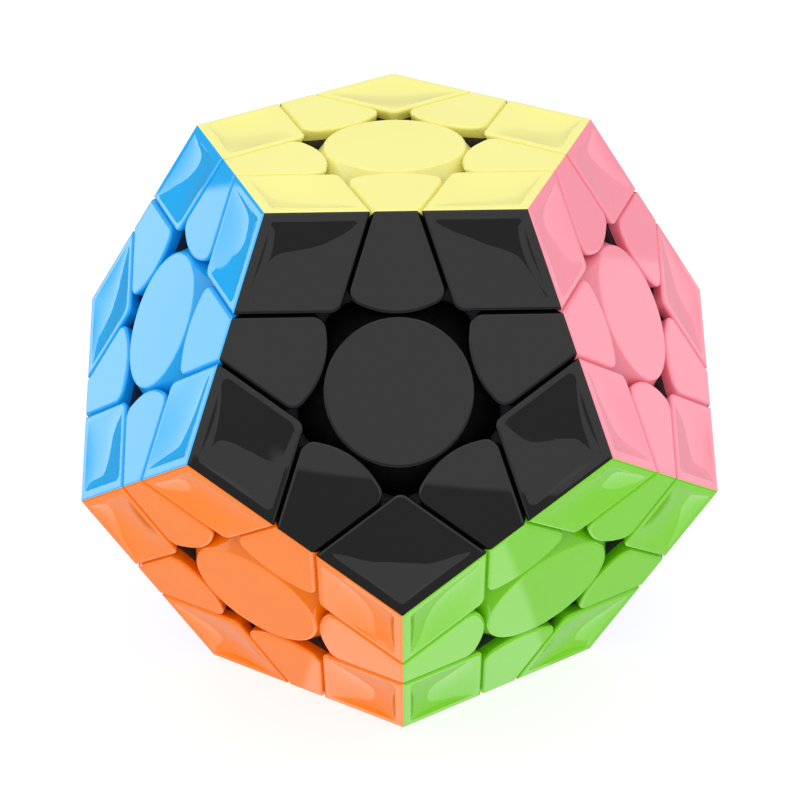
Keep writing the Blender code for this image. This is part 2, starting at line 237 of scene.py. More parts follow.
def face_normals():
    """Unit normal of each of the twelve faces."""
    normals = {"top": Vector((0, 0, 1))}
    for name, degrees in UPPER_RING.items():
        turn = math.radians(degrees)
        across = math.cos(RING_ELEVATION)
        normals[name] = Vector(
            (across * math.cos(turn), across * math.sin(turn), math.sin(RING_ELEVATION)))
    for name, partner in OPPOSITE.items():
        normals[name] = -normals[partner]
    normals["bottom"] = Vector((0, 0, -1))
    return normals


NORMALS = face_normals()
FACE_NAMES = list(NORMALS)


def adjacent(first, second):
    """Whether two faces share an edge."""
    return first != second and NORMALS[first].dot(NORMALS[second]) > 0.3


def neighbours(face):
    """The five faces around a face."""
    return [name for name in FACE_NAMES if adjacent(name, face)]


def right_handed(corner):
    """The same three faces, ordered so that their normals make a right-handed set."""
    first, second, third = corner
    if NORMALS[first].cross(NORMALS[second]).dot(NORMALS[third]) < 0:
        return (first, third, second)
    return (first, second, third)


def all_edges():
    """Every pair of faces that share an edge."""
    return [
        (first, second)
        for i, first in enumerate(FACE_NAMES)
        for second in FACE_NAMES[i + 1:]
        if adjacent(first, second)
    ]


def all_corners():
    """Every three faces that meet, in right-handed order."""
    return [
        right_handed((first, second, third))
        for first, second in all_edges()
        for third in FACE_NAMES[FACE_NAMES.index(second) + 1:]
        if adjacent(first, third) and adjacent(second, third)
    ]


def face_axes(first, second):
    """Right-handed axes with Z along a face's normal and X towards its neighbour."""
    up = NORMALS[first]
    across = (NORMALS[second] - up * up.dot(NORMALS[second])).normalized()
    return Matrix((across, up.cross(across), up)).transposed()


def turn_between(source, target):
    """Rotation that takes one pair of neighbouring faces to another pair."""
    turn = face_axes(*target[:2]) @ face_axes(*source[:2]).transposed()
    return turn.to_4x4()


# Outlines: closed loops with straight sides and round corners

def side_direction(degrees):
    """Outward direction of a side, from its angle."""
    return Vector((math.cos(math.radians(degrees)), math.sin(math.radians(degrees))))


def crossing(first, second, first_offset, second_offset):
    """Where two sides' lines cross, each given by its outward direction and its offset."""
    scale = first.x * second.y - first.y * second.x
    return Vector((
        (first_offset * second.y - second_offset * first.y) / scale,
        (second_offset * first.x - first_offset * second.x) / scale,
    ))


def outline(angles, offsets, depths, radii):
    """Loop of (x, y, depth) points. Corner i lies between side i and side i + 1."""
    count = len(angles)
    arcs = []
    for i in range(count):
        after = (i + 1) % count
        start = angles[i]
        turn = (angles[after] - start) % 360
        centre = crossing(
            side_direction(start), side_direction(start + turn),
            offsets[i] - radii[i], offsets[after] - radii[i])
        arc = []
        for step in range(ARC_STEPS + 1):
            share = step / ARC_STEPS
            point = centre + side_direction(start + turn * share) * radii[i]
            depth = depths[i] + (depths[after] - depths[i]) * share
            arc.append(Vector((point.x, point.y, depth)))
        arcs.append(arc)
    loop = []
    for i in range(count):
        loop.extend(arcs[i])
        start, end = arcs[i][-1], arcs[(i + 1) % count][0]
        loop.extend(start.lerp(end, step / SIDE_STEPS) for step in range(1, SIDE_STEPS))
    return loop


def fillet_profile(kind, radius):
    """(inset, depth) points of a rounded top edge, from the flat top to the wall below."""
    slope = WALL_SLOPES[kind]
    if kind == "ridge":
        sweep = math.atan(MITRE_SLOPE)
        reach = radius * MITRE_SLOPE
    else:
        sweep = math.pi / 2 + math.atan(slope)
        reach = radius * (math.sqrt(1 + slope * slope) + slope)
    points = []
    for step in range(FILLET_STEPS + 1):
        angle = sweep * step / FILLET_STEPS
        points.append((reach - radius * math.sin(angle), radius * (1 - math.cos(angle))))
    return points


def wall_profile(kind, start, depth):
    """(inset, depth) points down a wall from the end of its fillet."""
    inset, top = start
    points = []
    for step in range(1, WALL_STEPS + 1):
        below = top + (depth - top) * step / WALL_STEPS
        points.append((inset + WALL_SLOPES[kind] * (below - top), below))
    return points


class Loft:
    """A closed shell built from loops of equal length, from its top middle to its underside."""

    def __init__(self):
        self.solid = bmesh.new()
        self.last = None

    def close_middle(self, point):
        """Start, or end, at a single point."""
        vert = self.solid.verts.new(point)
        if self.last is None:
            self.last = [vert]
            return
        for i, current in enumerate(self.last):
            after = self.last[(i + 1) % len(self.last)]
            self.solid.faces.new((current, vert, after))

    def add(self, loop):
        """Join the next loop to the one before it."""
        verts = [self.solid.verts.new(point) for point in loop]
        count = len(verts)
        for i in range(count):
            after = (i + 1) % count
            if len(self.last) == 1:
                self.solid.faces.new((self.last[0], verts[i], verts[after]))
            else:
                self.solid.faces.new((self.last[i], verts[i], verts[after], self.last[after]))
        self.last = verts


def loop_middle(loop):
    """Average of a loop's points."""
    return sum(loop, Vector((0, 0, 0))) / len(loop)


def shrunk(loop, middle, share):
    """A loop scaled towards a middle point across the face, keeping its depth."""
    return [
        Vector((middle.x + (p.x - middle.x) * share, middle.y + (p.y - middle.y) * share, p.z))
        for p in loop
    ]


def to_space(points, axes):
    """Points across a face and below it, placed in space."""
    return [axes @ Vector((p.x, p.y, FACE_HEIGHT - p.z)) for p in points]


def facet_shell(angles, offsets, kinds, radii, top_loops, axes):
    """A shell with a filleted top edge, walls that follow the cuts and a flat underside.

    top_loops makes the loops inside the fillet, from the middle outwards.
    """
    fillets = {"in": CUT_FILLET, "out": CUT_FILLET, "ridge": RIDGE_FILLET}
    rows = []
    for kind in kinds:
        fillet = fillet_profile(kind, fillets[kind])
        rows.append(fillet + wall_profile(kind, fillet[-1], SHELL_DEPTH))
    loops = []
    for station in zip(*rows):
        moved = [offset - inset for offset, (inset, _) in zip(offsets, station)]
        insets = [inset for inset, _ in station]
        corners = []
        for i, radius in enumerate(radii):
            inset = (insets[i] + insets[(i + 1) % len(insets)]) / 2
            corners.append(max(radius - inset, LEAST_CORNER))
        loops.append(outline(angles, moved, [depth for _, depth in station], corners))
    middle, inside = top_loops(loops[0])
    loft = Loft()
    loft.close_middle(to_space([middle], axes)[0])
    for loop in inside + loops:
        loft.add(to_space(loop, axes))
    under = loop_middle(loops[-1])
    loft.close_middle(to_space([under], axes)[0])
    return loft.solid


# Corner facets: a dish inside a flat rim, steep along the ridges and shallow towards the cuts

CORNER_ANGLES = (0, FIFTH, 180, 180 + FIFTH)
CORNER_KINDS = ("ridge", "ridge", "in", "in")
CORNER_OFFSETS = (
    RIDGE_OFFSET, RIDGE_OFFSET, -CUT_OFFSET - SURFACE_GAP, -CUT_OFFSET - SURFACE_GAP)
CORNER_RADII = (SMALL_CORNER, SMALL_CORNER, TIP_RADIUS, SMALL_CORNER)


def dish_depth(point, crease):
    """Depth of the dish below the rim at a point inside the crease."""
    depth = DISH_DEPTH
    for angle, offset, kind in zip(CORNER_ANGLES, crease, CORNER_KINDS):
        inside = max(0.0, offset - side_direction(angle).dot(Vector((point.x, point.y))))
        spread = min(inside / DISH_REACH, 1.0)
        bowl = 1 - (1 - spread) ** 2
        if kind == "ridge":
            wall = 1 - math.exp(-inside / DISH_WALL)
            depth *= WALL_SHARE * wall + (1 - WALL_SHARE) * bowl
        else:
            depth *= bowl
    return depth


def corner_top(rim_loop):
    """The rim and the dish of a corner facet."""
    crease = [
        offset - (RIM_AT_RIDGE if kind == "ridge" else RIM_AT_CUT)
        for offset, kind in zip(CORNER_OFFSETS, CORNER_KINDS)
    ]
    crease_loop = outline(CORNER_ANGLES, crease, (0, 0, 0, 0), CREASE_RADII)
    middle = loop_middle(crease_loop)
    loops = []
    for ring in range(1, DISH_RINGS):
        share = 1 - (1 - ring / DISH_RINGS) ** DISH_CROWDING
        loop = shrunk(crease_loop, middle, share)
        for point in loop:
            point.z = dish_depth(point, crease)
        loops.append(loop)
    middle.z = dish_depth(middle, crease)
    loops.append(shrunk(crease_loop, middle, CREASE_RING))
    loops.append(crease_loop)
    for share in RIM_RINGS:
        loops.append([inner.lerp(outer, share) for inner, outer in zip(crease_loop, rim_loop)])
    return middle, loops


def corner_facet(face, second):
    """One coloured facet of a corner piece."""
    axes = face_axes(face, second)
    return facet_shell(
        CORNER_ANGLES, CORNER_OFFSETS, CORNER_KINDS, CORNER_RADII, corner_top, axes)


# Edge facets: flat, with a rounded inner end

def edge_end_offset(angle):
    """Offset of a line that touches the round inner end of an edge facet."""
    middle = CUT_OFFSET + SURFACE_GAP - EDGE_END_REACH + EDGE_END_RADIUS
    return middle * math.cos(math.radians(angle)) + EDGE_END_RADIUS


EDGE_ANGLES = (0, FIFTH, 180 - EDGE_END_SPREAD, 180 + EDGE_END_SPREAD, 360 - FIFTH)
EDGE_KINDS = ("ridge", "out", "in", "in", "out")
EDGE_OFFSETS = (
    RIDGE_OFFSET,
    CUT_OFFSET - SURFACE_GAP,
    edge_end_offset(180 - EDGE_END_SPREAD),
    edge_end_offset(180 + EDGE_END_SPREAD),
    CUT_OFFSET - SURFACE_GAP,
)
EDGE_RADII = (
    SMALL_CORNER, SHOULDER_RADIUS, EDGE_END_RADIUS, SHOULDER_RADIUS, SMALL_CORNER)


def flat_top(rim_loop):
    """A flat facet, with a last loop close to the rim that keeps its shading flat."""
    middle = loop_middle(rim_loop)
    return middle, [shrunk(rim_loop, middle, share) for share in FLAT_RINGS]


def edge_facet(face, second):
    """One coloured facet of an edge piece."""
    axes = face_axes(face, second)
    return facet_shell(EDGE_ANGLES, EDGE_OFFSETS, EDGE_KINDS, EDGE_RADII, flat_top, axes)


# Centre cap: a round button on a skirt that flares to five corners

def button_loops():
    """The round button's rim, from its flat top down."""
    angles = [FIFTH * i for i in range(5)]
    loops = []
    for step in range(FILLET_STEPS + 1):
        angle = BUTTON_SWEEP * step / FILLET_STEPS
        radius = BUTTON_RADIUS - BUTTON_FILLET * (1 - math.sin(angle))
        depth = BUTTON_FILLET * (1 - math.cos(angle))
        loops.append(outline(angles, [radius] * 5, [depth] * 5, [radius * ALMOST_ALL] * 5))
    return loops


def skirt_loops(start):
    """The skirt from a depth down, as its round outline flares to five corners."""
    angles = [FIFTH * i for i in range(5)]
    loops = []
    for step in range(1, SKIRT_STEPS + 1):
        share = step / SKIRT_STEPS
        depth = start + (SKIRT_DEPTH - start) * share
        reach = BUTTON_RADIUS + CUT_SLOPE * (depth - start)
        corner = BUTTON_RADIUS + (SKIRT_CORNER - BUTTON_RADIUS) * share ** SKIRT_SHARPENING
        corner = min(corner, reach * ALMOST_ALL)
        loops.append(outline(angles, [reach] * 5, [depth] * 5, [corner] * 5))
    return loops


def centre_cap(face, second):
    """The coloured cap of a centre, cut away where the neighbours' feet pass."""
    axes = face_axes(face, second)
    loops = button_loops()
    loops += skirt_loops(loops[-1][0].z)
    middle, inside = flat_top(loops[0])
    loft = Loft()
    loft.close_middle(to_space([middle], axes)[0])
    for loop in inside + loops:
        loft.add(to_space(loop, axes))
    loft.close_middle(to_space([loop_middle(loops[-1])], axes)[0])
    stem = between(
        (face,), INNER_CUT + GAP, neighbours(face), INNER_CUT - GAP, limit=FACE_HEIGHT)
    feet_room = combine(ball(SHELL_RADIUS + GAP), "DIFFERENCE", stem)
    return combine(loft.solid, "DIFFERENCE", feet_room)


# Dark base mouldings and the core, cut from balls and blocks as the CAD solids are

BALL_SUBDIVISIONS = 5
CORE_SUBDIVISIONS = 4
BLOCK_SIZE = 0.2
ROUND_SIDES = 48
PLANE_TOLERANCE = 1e-7
WELD_DISTANCE = 2e-7


def cut(solid, normal, height, keep):
    """Cut a convex solid flat across an axis and close it. keep is 'above' or 'below'."""
    bmesh.ops.bisect_plane(
        solid,
        geom=solid.verts[:] + solid.edges[:] + solid.faces[:],
        dist=PLANE_TOLERANCE,
        plane_co=normal * height,
        plane_no=normal,
        clear_outer=keep == "below",
        clear_inner=keep == "above",
    )
    rim = [edge for edge in solid.edges if edge.is_boundary]
    if rim:
        bmesh.ops.holes_fill(solid, edges=rim, sides=0)


def ball(radius, subdivisions=BALL_SUBDIVISIONS):
    """A fine ball about the origin."""
    solid = bmesh.new()
    bmesh.ops.create_icosphere(solid, subdivisions=subdivisions, radius=radius)
    return solid


def rod(axis, bottom, top, radius):
    """A round rod along an axis through the origin."""
    solid = bmesh.new()
    turn = axis.to_track_quat("Z", "Y").to_matrix().to_4x4()
    bmesh.ops.create_cone(
        solid,
        cap_ends=True,
        segments=ROUND_SIDES,
        radius1=radius,
        radius2=radius,
        depth=top - bottom,
        matrix=turn @ Matrix.Translation((0, 0, (bottom + top) / 2)),
    )
    return solid


def between(inside, lowest, outside, highest, limit=None, planes=()):
    """Convex solid above `lowest` on the inside faces and below `highest` on the outside ones.

    With a limit it is a block that ends there on the inside faces, and without one the foot ball.
    """
    if limit is None:
        solid = ball(SHELL_RADIUS - GAP)
    else:
        solid = bmesh.new()
        bmesh.ops.create_cube(solid, size=BLOCK_SIZE)
    for face in inside:
        cut(solid, NORMALS[face], lowest, "above")
        if limit is not None:
            cut(solid, NORMALS[face], limit, "below")
    for face in outside:
        cut(solid, NORMALS[face], highest, "below")
    for normal, height in planes:
        cut(solid, normal, height, "below")
    bmesh.ops.recalc_face_normals(solid, faces=solid.faces[:])
    return solid


def combine(first, operation, second):
    """Union, difference or intersection of two closed solids."""
    items = []
    for solid in (first, second):
        mesh = bpy.data.meshes.new("temporary")
        solid.to_mesh(mesh)
        solid.free()
        item = bpy.data.objects.new("temporary", mesh)
        bpy.context.scene.collection.objects.link(item)
        items.append(item)
    modifier = items[0].modifiers.new("combine", "BOOLEAN")
    modifier.operation = operation
    modifier.solver = "EXACT"
    modifier.object = items[1]
    bpy.context.view_layer.update()
    evaluated = items[0].evaluated_get(bpy.context.evaluated_depsgraph_get())
    result = bmesh.new()
    result.from_mesh(evaluated.to_mesh())
    evaluated.to_mesh_clear()
    for item in items:
        mesh = item.data
        bpy.data.objects.remove(item)
        bpy.data.meshes.remove(mesh)
    bmesh.ops.remove_doubles(result, verts=result.verts[:], dist=WELD_DISTANCE)
    return result


def base_planes(angles, offsets, kinds, radii, axes):
    """(normal, height) planes just inside a shell's walls and its round corners."""
    sides = []
    for i, kind in enumerate(kinds):
        after = (i + 1) % len(kinds)
        if "ridge" in (kind, kinds[after]):
            continue
        turn = (angles[after] - angles[i]) % 360
        centre = crossing(
            side_direction(angles[i]), side_direction(angles[i] + turn),
            offsets[i] - radii[i], offsets[after] - radii[i])
        middle = angles[i] + turn / 2
        reach = centre.dot(side_direction(middle)) + radii[i]
        sides.append((middle, reach, (WALL_SLOPES[kind] + WALL_SLOPES[kinds[after]]) / 2))
        sides.append((angles[i], offsets[i], WALL_SLOPES[kind]))
    planes = []
    for angle, offset, slope in sides:
        across = side_direction(angle)
        normal = Vector((across.x, across.y, -slope))
        height = (offset - BASE_INSET - slope * FACE_HEIGHT) / normal.length
        planes.append((axes @ normal.normalized(), height))
    return planes


def base_solid(inside, outside, planes):
    """The dark moulding under a piece's shells: a body, a neck and a foot under the neighbours."""
    top = FACE_HEIGHT - SHELL_DEPTH
    margin = GAP / 2 + BASE_INSET
    foot = between(inside, INNER_CUT + margin, outside, INNER_CUT - margin)
    body = between(
        inside, OUTER_CUT + margin, outside, OUTER_CUT - margin, limit=top, planes=planes)
    if outside:
        body = combine(body, "DIFFERENCE", ball(SHELL_RADIUS + GAP))
        neck = between(
            inside, OUTER_CUT + margin, outside, INNER_CUT - margin, limit=top, planes=planes)
        body = combine(body, "UNION", neck)
    return combine(body, "UNION", foot)


def corner_base(corner):
    """The base of a corner piece."""
    planes = []
    for i in range(3):
        axes = face_axes(corner[i], corner[(i + 1) % 3])
        planes += base_planes(CORNER_ANGLES, CORNER_OFFSETS, CORNER_KINDS, CORNER_RADII, axes)
    return base_solid(corner, (), planes)


def edge_base(edge):
    """The base of an edge piece."""
    ends = [name for name in FACE_NAMES if adjacent(name, edge[0]) and adjacent(name, edge[1])]
    planes = []
    for axes in (face_axes(*edge), face_axes(*edge[::-1])):
        planes += base_planes(EDGE_ANGLES, EDGE_OFFSETS, EDGE_KINDS, EDGE_RADII, axes)
    return base_solid(edge, ends, planes)


def centre_base(face):
    """The dark base of a centre, bored for its spring and screw."""
    solid = between(
        (face,), INNER_CUT + GAP, neighbours(face), INNER_CUT - GAP, limit=SPLIT_HEIGHT)
    ledge = INNER_CUT + LEDGE
    axis = NORMALS[face]
    solid = combine(solid, "DIFFERENCE", rod(axis, ledge, SPLIT_HEIGHT + GAP, CHAMBER_RADIUS))
    return combine(solid, "DIFFERENCE", rod(axis, CORE_RADIUS, ledge + GAP, BORE_RADIUS))


def core_solid():
    """The core: a ball with a hollow post towards every face."""
    solid = ball(CORE_RADIUS, subdivisions=CORE_SUBDIVISIONS)
    top = INNER_CUT - GAP / 2
    for axis in NORMALS.values():
        solid = combine(solid, "UNION", rod(axis, CORE_RADIUS / 2, top, POST_RADIUS))
    for axis in NORMALS.values():
        hole = rod(axis, SCREW_TIP - GAP, top + GAP, SCREW_RADIUS + GAP)
        solid = combine(solid, "DIFFERENCE", hole)
    return solid


# Screws and springs, along +Z

THREAD_PITCH = 0.0007
THREAD_DEPTH = 0.00022
THREAD_SIDES = 24
THREAD_ROWS = 96
HEAD_TAPER = 0.82
RECESS_LENGTH = 0.00352
RECESS_WIDTH = 0.0008
RECESS_DEPTH = 0.0010
SPRING_TURNS = 5.5
SPRING_STEPS = 150
WIRE_SIDES = 12
CLOSED_SHARE = 0.08
EVEN_RISE = 0.55


def screw_shank():
    """A threaded shank, from the head down to the tip."""
    loft = Loft()
    loft.close_middle(Vector((0, 0, SCREW_HEAD_BASE)))
    for row in range(THREAD_ROWS + 1):
        height = SCREW_HEAD_BASE - (SCREW_HEAD_BASE - SCREW_TIP) * row / THREAD_ROWS
        loop = []
        for side in range(THREAD_SIDES):
            share = side / THREAD_SIDES
            phase = (height / THREAD_PITCH + share) % 1
            ridge = 1 - abs(2 * phase - 1)
            radius = SCREW_RADIUS - THREAD_DEPTH + THREAD_DEPTH * ridge
            angle = -2 * math.pi * share
            loop.append(Vector((radius * math.cos(angle), radius * math.sin(angle), height)))
        loft.add(loop)
    loft.close_middle(Vector((0, 0, SCREW_TIP)))
    bmesh.ops.recalc_face_normals(loft.solid, faces=loft.solid.faces[:])
    return loft.solid


def screw_solid():
    """A pan-head screw with a cross recess and a thread."""
    head = bmesh.new()
    bmesh.ops.create_cone(
        head,
        cap_ends=True,
        segments=ROUND_SIDES,
        radius1=SCREW_HEAD_RADIUS,
        radius2=SCREW_HEAD_RADIUS * HEAD_TAPER,
        depth=SCREW_HEAD_TOP - SCREW_HEAD_BASE + GAP,
        matrix=Matrix.Translation((0, 0, (SCREW_HEAD_TOP + SCREW_HEAD_BASE - GAP) / 2)),
    )
    solid = combine(head, "UNION", screw_shank())
    sizes = Matrix.Diagonal((RECESS_LENGTH, RECESS_WIDTH, RECESS_DEPTH * 2, 1))
    place = Matrix.Translation((0, 0, SCREW_HEAD_TOP))
    for degrees in (0, 90):
        slot = bmesh.new()
        bmesh.ops.create_cube(slot, size=1)
        around = Matrix.Rotation(math.radians(degrees), 4, "Z")
        bmesh.ops.transform(slot, matrix=place @ around @ sizes, verts=slot.verts[:])
        solid = combine(solid, "DIFFERENCE", slot)
    return solid


def spring_rise(share):
    """How far up the spring its wire is, with closed coils at both ends."""
    open_share = min(max((share - CLOSED_SHARE) / (1 - 2 * CLOSED_SHARE), 0), 1)
    eased = 0.5 - 0.5 * math.cos(math.pi * open_share)
    return EVEN_RISE * open_share + (1 - EVEN_RISE) * eased


def spring_solid():
    """A coil spring with closed ends."""
    bottom = INNER_CUT + GAP / 2 + LEDGE + GAP + SPRING_WIRE_RADIUS
    top = SCREW_HEAD_BASE - GAP - SPRING_WIRE_RADIUS
    length = top - bottom - 2 * SPRING_WIRE_RADIUS
    loft = Loft()
    for step in range(SPRING_STEPS + 1):
        share = step / SPRING_STEPS
        angle = 2 * math.pi * SPRING_TURNS * share
        height = bottom + SPRING_WIRE_RADIUS + length * spring_rise(share)
        outward = Vector((math.cos(angle), math.sin(angle), 0))
        middle = outward * SPRING_RADIUS + Vector((0, 0, height))
        if step == 0:
            loft.close_middle(middle)
        loop = []
        for side in range(WIRE_SIDES):
            roll = 2 * math.pi * side / WIRE_SIDES
            offset = outward * math.cos(roll) + Vector((0, 0, 1)) * math.sin(roll)
            loop.append(middle + offset * SPRING_WIRE_RADIUS)
        loft.add(loop)
    loft.close_middle(middle)
    return loft.solid


# Materials

def noise(tree, scale, detail, source):
    """A noise texture in the object's own coordinates."""
    node = tree.nodes.new("ShaderNodeTexNoise")
    node.inputs["Scale"].default_value = scale
    node.inputs["Detail"].default_value = detail
    tree.links.new(source, node.inputs["Vector"])
    return node


def span(tree, source, low, high):
    """Stretch the usual range of a noise to another range."""
    node = tree.nodes.new("ShaderNodeMapRange")
    node.inputs["From Min"].default_value = NOISE_RANGE[0]
    node.inputs["From Max"].default_value = NOISE_RANGE[1]
    node.inputs["To Min"].default_value = low
    node.inputs["To Max"].default_value = high
    tree.links.new(source, node.inputs["Value"])
    return node.outputs["Result"]


def plastic(name, colour, roughness=SHELL_ROUGHNESS, ripple=SHELL_RIPPLE, drift=SHELL_DRIFT):
    """Moulded ABS: slight tone drift, uneven gloss and a faint ripple from the mould."""
    made = bpy.data.materials.new(name)
    made.use_nodes = True
    tree = made.node_tree
    shader = tree.nodes["Principled BSDF"]
    place = tree.nodes.new("ShaderNodeTexCoord").outputs["Object"]
    tone = noise(tree, TONE_SCALE, 2, place)
    mix = tree.nodes.new("ShaderNodeMix")
    mix.data_type = "RGBA"
    tree.links.new(tone.outputs["Fac"], mix.inputs["Factor"])
    mix.inputs["A"].default_value = (*(c * (1 - drift) for c in colour), 1)
    mix.inputs["B"].default_value = (*(min(1, c * (1 + drift)) for c in colour), 1)
    tree.links.new(mix.outputs["Result"], shader.inputs["Base Color"])
    gloss = noise(tree, GLOSS_SCALE, 4, place)
    tree.links.new(span(tree, gloss.outputs["Fac"], *roughness), shader.inputs["Roughness"])
    wave = noise(tree, RIPPLE_SCALE, 1, place)
    bump = tree.nodes.new("ShaderNodeBump")
    bump.inputs["Strength"].default_value = 1.0
    bump.inputs["Distance"].default_value = ripple
    tree.links.new(wave.outputs["Fac"], bump.inputs["Height"])
    tree.links.new(bump.outputs["Normal"], shader.inputs["Normal"])
    shader.inputs["IOR"].default_value = PLASTIC_IOR
    return made


def face_plastics():
    """The coloured plastic of every face. The black one is the smoothest."""
    paints = {}
    for face, colour in COLOURS.items():
        if face == "front":
            paints[face] = plastic(
                SLOTS[face], colour, BLACK_ROUGHNESS, BLACK_RIPPLE, BLACK_DRIFT)
        else:
            paints[face] = plastic(SLOTS[face], colour)
    return paints


def metal(name):
    """Bright zinc-plated steel with fine streaks."""
    made = bpy.data.materials.new(name)
    made.use_nodes = True
    tree = made.node_tree
    shader = tree.nodes["Principled BSDF"]
    place = tree.nodes.new("ShaderNodeTexCoord").outputs["Object"]
    shader.inputs["Base Color"].default_value = (*STEEL, 1)
    shader.inputs["Metallic"].default_value = 1.0
    streaks = noise(tree, STREAK_SCALE, 3, place)
    roughness = span(tree, streaks.outputs["Fac"], *STEEL_ROUGHNESS)
    tree.links.new(roughness, shader.inputs["Roughness"])
    return made


# Putting the pieces in place

def finished_mesh(name, solids):
    """A mesh of one or more closed shells, one material slot for each."""
    whole = bmesh.new()
    for index, solid in enumerate(solids):
        bmesh.ops.recalc_face_normals(solid, faces=solid.faces[:])
        for face in solid.faces:
            face.material_index = index
        part = bpy.data.meshes.new("part")
        solid.to_mesh(part)
        solid.free()
        whole.from_mesh(part)
        bpy.data.meshes.remove(part)
    mesh = bpy.data.meshes.new(name)
    whole.to_mesh(mesh)
    whole.free()
    for _ in solids:
        mesh.materials.append(None)
    mesh.shade_smooth()
    mesh.set_sharp_from_angle(angle=math.radians(SHARP_ANGLE))
    return mesh


def body_of(faces):
    """The body that a piece with these faces moves with."""
    for layer in LAYERS:
        if layer in faces:
            return f"{layer}_layer"
    return "core"


def faces_in_name(text):
    """Faces named in a node's name, longest names first."""
    found = []
    while text:
        match = next(
            (face for face in sorted(FACE_NAMES, key=len, reverse=True)
             if text == face or text.startswith(face + "_")), None)
        if match is None:
            return found
        found.append(match)
        text = text[len(match) + 1:]
    return found


def cad_nodes(kinds, faces):
    """The CAD nodes of these kinds that are named after these faces."""
    found = []
    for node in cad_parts:
        kind, _, rest = node.partition("_")
        if kind in kinds and set(faces_in_name(rest)) == set(faces):
            found.append(node)
    return found


def add_piece(name, mesh, looks, turn, body, nodes=()):
    """One visible piece: placed, painted and riding on its body."""
    mesh = mesh.copy()
    mesh.transform(turn)
    item = bpy.data.objects.new(name, mesh)
    bpy.context.scene.collection.objects.link(item)
    for holder, look in zip(item.material_slots, looks):
        holder.link = "OBJECT"
        holder.material = look
    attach(item, body)
    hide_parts(*nodes)
    return item


def add_outer_piece(kind, meshes, turn, faces, paints, charcoal, nodes):
    """The shells and the base of a corner or an edge piece."""
    name = "_".join(faces)
    body = body_of(faces)
    looks = [paints[face] for face in faces]
    shells, base = meshes
    add_piece(f"{kind}_shells_{name}", shells, looks, turn, body, nodes)
    add_piece(f"{kind}_base_{name}", base, [charcoal], turn, body)


def add_corners(paints, charcoal):
    """The twenty corner pieces. A block in the CAD is named after its corner."""
    first = all_corners()[0]
    facets = [corner_facet(first[i], first[(i + 1) % 3]) for i in range(3)]
    meshes = (
        finished_mesh("corner_shells", facets),
        finished_mesh("corner_base", [corner_base(first)]),
    )
    for faces in all_corners():
        turn = turn_between(first, faces)
        nodes = cad_nodes(("corner", "block"), faces)
        add_outer_piece("corner", meshes, turn, faces, paints, charcoal, nodes)


def add_edges(paints, charcoal):
    """The thirty edge pieces."""
    first = all_edges()[0]
    meshes = (
        finished_mesh("edge_shells", [edge_facet(*first), edge_facet(*first[::-1])]),
        finished_mesh("edge_base", [edge_base(first)]),
    )
    for faces in all_edges():
        turn = turn_between(first, faces)
        nodes = cad_nodes(("edge",), faces)
        add_outer_piece("edge", meshes, turn, faces, paints, charcoal, nodes)


def add_centres(paints, charcoal, steel):
    """The twelve centres: cap, base, screw and spring. The still ones are one node in the CAD."""
    first = all_edges()[0]
    cap = finished_mesh("cap", [centre_cap(*first)])
    base = finished_mesh("base", [centre_base(first[0])])
    screw = finished_mesh("screw", [screw_solid()])
    spring = finished_mesh("spring", [spring_solid()])
    for face in FACE_NAMES:
        second = neighbours(face)[0]
        turn = turn_between(first, (face, second))
        upright = face_axes(face, second).to_4x4()
        body = body_of((face,))
        nodes = {"cap": [f"centre_{face}"], "base": [], "screw": [], "spring": []}
        if face in LAYERS:
            nodes = {
                "cap": [f"centre_cap_{face}"],
                "base": [f"centre_base_{face}"],
                "screw": [f"screw_{face}"],
                "spring": [f"spring_{face}"],
            }
        add_piece(f"cap_{face}", cap, [paints[face]], turn, body, nodes["cap"])
        add_piece(f"base_{face}", base, [charcoal], turn, body, nodes["base"])
        add_piece(f"steel_screw_{face}", screw, [steel], upright, "core", nodes["screw"])
        add_piece(f"steel_spring_{face}", spring, [steel], upright, body, nodes["spring"])


def build_puzzle():
    """Every piece of the puzzle."""
    paints = face_plastics()
    charcoal = plastic("charcoal", CHARCOAL, CHARCOAL_ROUGHNESS, CHARCOAL_RIPPLE)
    steel = metal("steel")
    add_corners(paints, charcoal)
    add_edges(paints, charcoal)
    add_centres(paints, charcoal, steel)
    core = finished_mesh("core", [core_solid()])
    add_piece("core_spider", core, [charcoal], Matrix.Identity(4), "core", ["core"])


# Floor, light and camera

def floor():
    """A plain pale floor, lit from within so that it stays nearly white under the object."""
    bpy.ops.mesh.primitive_circle_add(
        vertices=96, radius=FLOOR_RADIUS, fill_type="NGON", location=(0, 0, -FACE_HEIGHT))
    item = bpy.context.object
    item.name = "floor"
    made = bpy.data.materials.new("floor")
    made.use_nodes = True
    shader = made.node_tree.nodes["Principled BSDF"]
    shader.inputs["Base Color"].default_value = (FLOOR_SHADE, FLOOR_SHADE, FLOOR_SHADE, 1)
    shader.inputs["Roughness"].default_value = 1.0
    shader.inputs["Specular IOR Level"].default_value = 0.0
    shader.inputs["Emission Color"].default_value = (1, 1, 1, 1)
    shader.inputs["Emission Strength"].default_value = FLOOR_GLOW
    item.visible_glossy = False
    item.data.materials.append(made)


